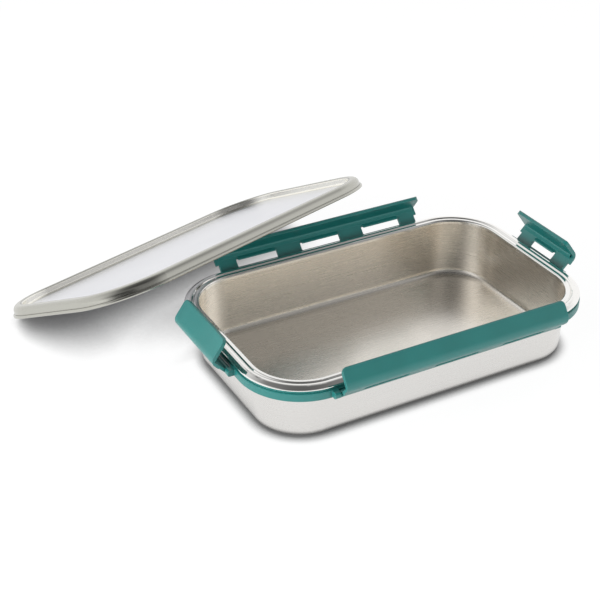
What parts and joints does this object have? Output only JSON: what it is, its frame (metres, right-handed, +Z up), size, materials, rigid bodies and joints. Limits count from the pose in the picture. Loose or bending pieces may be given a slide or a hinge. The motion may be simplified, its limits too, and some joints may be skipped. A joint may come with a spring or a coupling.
{
  "type": "lunch box",
  "caption": "Rectangular steel lunch box with a moulded collar, slotted snap latches hinged on every side, and a loose pressed lid with a sealing ring lying against its back.",
  "frame": {"origin": "on the floor, under the middle of the tray", "axes": "+X along the tray's length to the right, +Y to the back where the lid lies, +Z up"},
  "size_m": [0.3101, 0.28, 0.0678],
  "materials": {
    "tray_steel": "satin brushed, with a polished rim",
    "teal_plastic": "satin moulded",
    "pin_steel": "drawn wire",
    "lid_steel": "polished",
    "seal_silicone": "matte translucent white"
  },
  "bodies": {
    "box": {"steel_tray": "tray_steel", "collar_frame": "teal_plastic", "rear_hinge_pin": "pin_steel", "left_hinge_pin": "pin_steel", "front_hinge_pin": "pin_steel", "right_hinge_pin": "pin_steel"},
    "rear_flap": {"rear_latch": "teal_plastic"},
    "left_flap": {"left_latch": "teal_plastic"},
    "front_flap": {"front_latch": "teal_plastic"},
    "right_flap": {"right_latch": "teal_plastic"},
    "lid": {"lid_shell": "lid_steel", "lid_gasket": "seal_silicone"}
  },
  "joints": [
    {"name": "rear_hinge", "type": "hinge", "parent": "box", "child": "rear_flap", "pos_m": [0, 0.0711, 0.0332], "axis": [-1, 0, 0], "range_deg": [-44, 125]},
    {"name": "left_hinge", "type": "hinge", "parent": "box", "child": "left_flap", "pos_m": [-0.1126, 0, 0.0332], "axis": [0, -1, 0], "range_deg": [-44, 125]},
    {"name": "front_hinge", "type": "hinge", "parent": "box", "child": "front_flap", "pos_m": [0, -0.0711, 0.0332], "axis": [1, 0, 0], "range_deg": [-44, 125]},
    {"name": "right_hinge", "type": "hinge", "parent": "box", "child": "right_flap", "pos_m": [0.1126, 0, 0.0332], "axis": [0, 1, 0], "range_deg": [-44, 125]},
    {"name": "lid_lift", "type": "slide", "parent": "box", "child": "lid", "axis": [0, 0, 1], "range_m": [0, 0.12]}
  ]
}
